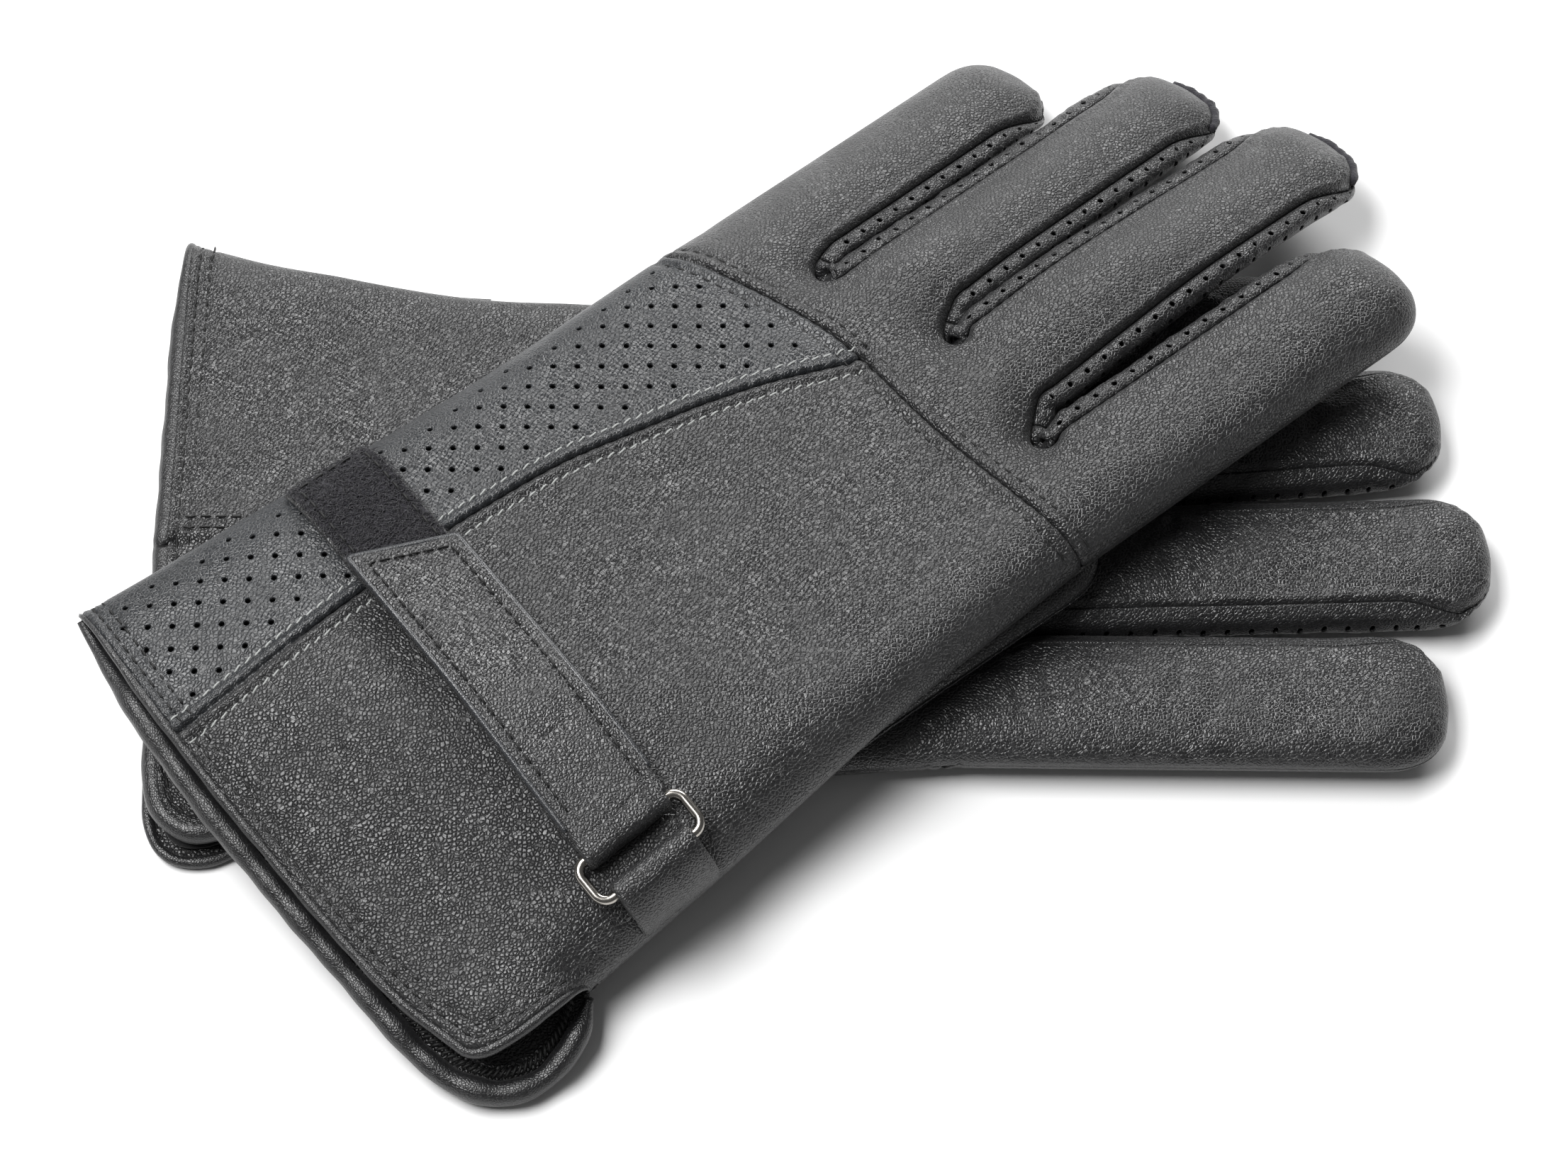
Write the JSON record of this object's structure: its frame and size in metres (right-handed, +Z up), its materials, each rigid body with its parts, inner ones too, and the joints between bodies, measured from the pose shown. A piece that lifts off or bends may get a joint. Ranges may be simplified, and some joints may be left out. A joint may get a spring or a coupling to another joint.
{
  "type": "pair of leather driving gloves",
  "caption": "Pair of black leather driving gloves lying crossed, with punched side panels and a wrist strap that folds back through a wire ring.",
  "frame": {"origin": "middle of the pair's footprint, on the surface that the gloves lie on", "axes": "+X towards the fingertips of the lower glove, +Y towards its little finger, +Z up"},
  "size_m": [0.2885, 0.2433, 0.0391],
  "materials": {
    "back_leather": "semi-matte, fine pebble grain",
    "perforated_leather": "semi-matte, fine pebble grain with punched holes",
    "palm_leather": "satin, creased",
    "edge_leather": "satin, rolled",
    "strap_leather": "satin with painted edges",
    "lining_cloth": "brushed knit",
    "loop_pile": "fuzzy loop tape",
    "hook_tape": "hook tape",
    "ring_metal": "polished nickel"
  },
  "bodies": {
    "right_glove": {"right_back_panel": "back_leather", "right_perforated_panel": "perforated_leather", "right_finger_backs": "back_leather", "right_palm_panel": "palm_leather", "right_thumb": "palm_leather", "right_lining": "lining_cloth", "right_back_cuff_binding": "edge_leather", "right_palm_cuff_binding": "edge_leather", "right_strap_base": "strap_leather", "right_strap_loop_pile": "loop_pile", "right_ring_keeper": "strap_leather", "right_crotch_little_ring": "back_leather", "right_crotch_ring_middle": "back_leather", "right_crotch_middle_index": "back_leather", "right_strip_little_inner": "perforated_leather", "right_strip_ring_outer": "perforated_leather", "right_strip_ring_inner": "perforated_leather", "right_strip_middle_outer": "perforated_leather", "right_strip_middle_inner": "perforated_leather", "right_strip_index_outer": "perforated_leather"},
    "right_ring_link": {"right_ring": "ring_metal"},
    "right_strap_end": {"right_strap_leaf": "strap_leather", "right_strap_hooks": "hook_tape"},
    "left_glove": {"left_back_panel": "back_leather", "left_perforated_panel": "perforated_leather", "left_finger_backs": "back_leather", "left_palm_panel": "palm_leather", "left_thumb": "palm_leather", "left_lining": "lining_cloth", "left_back_cuff_binding": "edge_leather", "left_palm_cuff_binding": "edge_leather", "left_strap_base": "strap_leather", "left_strap_loop_pile": "loop_pile", "left_ring_keeper": "strap_leather", "left_crotch_little_ring": "back_leather", "left_crotch_ring_middle": "back_leather", "left_crotch_middle_index": "back_leather", "left_strip_little_inner": "perforated_leather", "left_strip_ring_outer": "perforated_leather", "left_strip_ring_inner": "perforated_leather", "left_strip_middle_outer": "perforated_leather", "left_strip_middle_inner": "perforated_leather", "left_strip_index_outer": "perforated_leather"},
    "left_ring_link": {"left_ring": "ring_metal"},
    "left_strap_end": {"left_strap_leaf": "strap_leather", "left_strap_hooks": "hook_tape"}
  },
  "joints": [
    {"name": "left_lift", "type": "slide", "parent": "right_glove", "child": "left_glove", "axis": [0, 0, 1], "range_m": [0, 0.25]},
    {"name": "left_ring_swing", "type": "hinge", "parent": "left_glove", "child": "left_ring_link", "pos_m": [-0.026, -0.07924, 0.02722], "axis": [0.7762, 0.6064, 0.1728], "range_deg": [0, 20]},
    {"name": "left_strap_peel", "type": "hinge", "parent": "left_ring_link", "child": "left_strap_end", "pos_m": [-0.03167, -0.07252, 0.02913], "axis": [0.7762, 0.6064, 0.1728], "range_deg": [0, 140]},
    {"name": "right_ring_swing", "type": "hinge", "parent": "right_glove", "child": "right_ring_link", "pos_m": [-0.07708, -0.0442, 0.0025], "axis": [-0.9994, 0.0349, 0], "range_deg": [0, 20]},
    {"name": "right_strap_peel", "type": "hinge", "parent": "right_ring_link", "child": "right_strap_end", "pos_m": [-0.07677, -0.03521, 0.0025], "axis": [-0.9994, 0.0349, 0], "range_deg": [0, 140]}
  ]
}
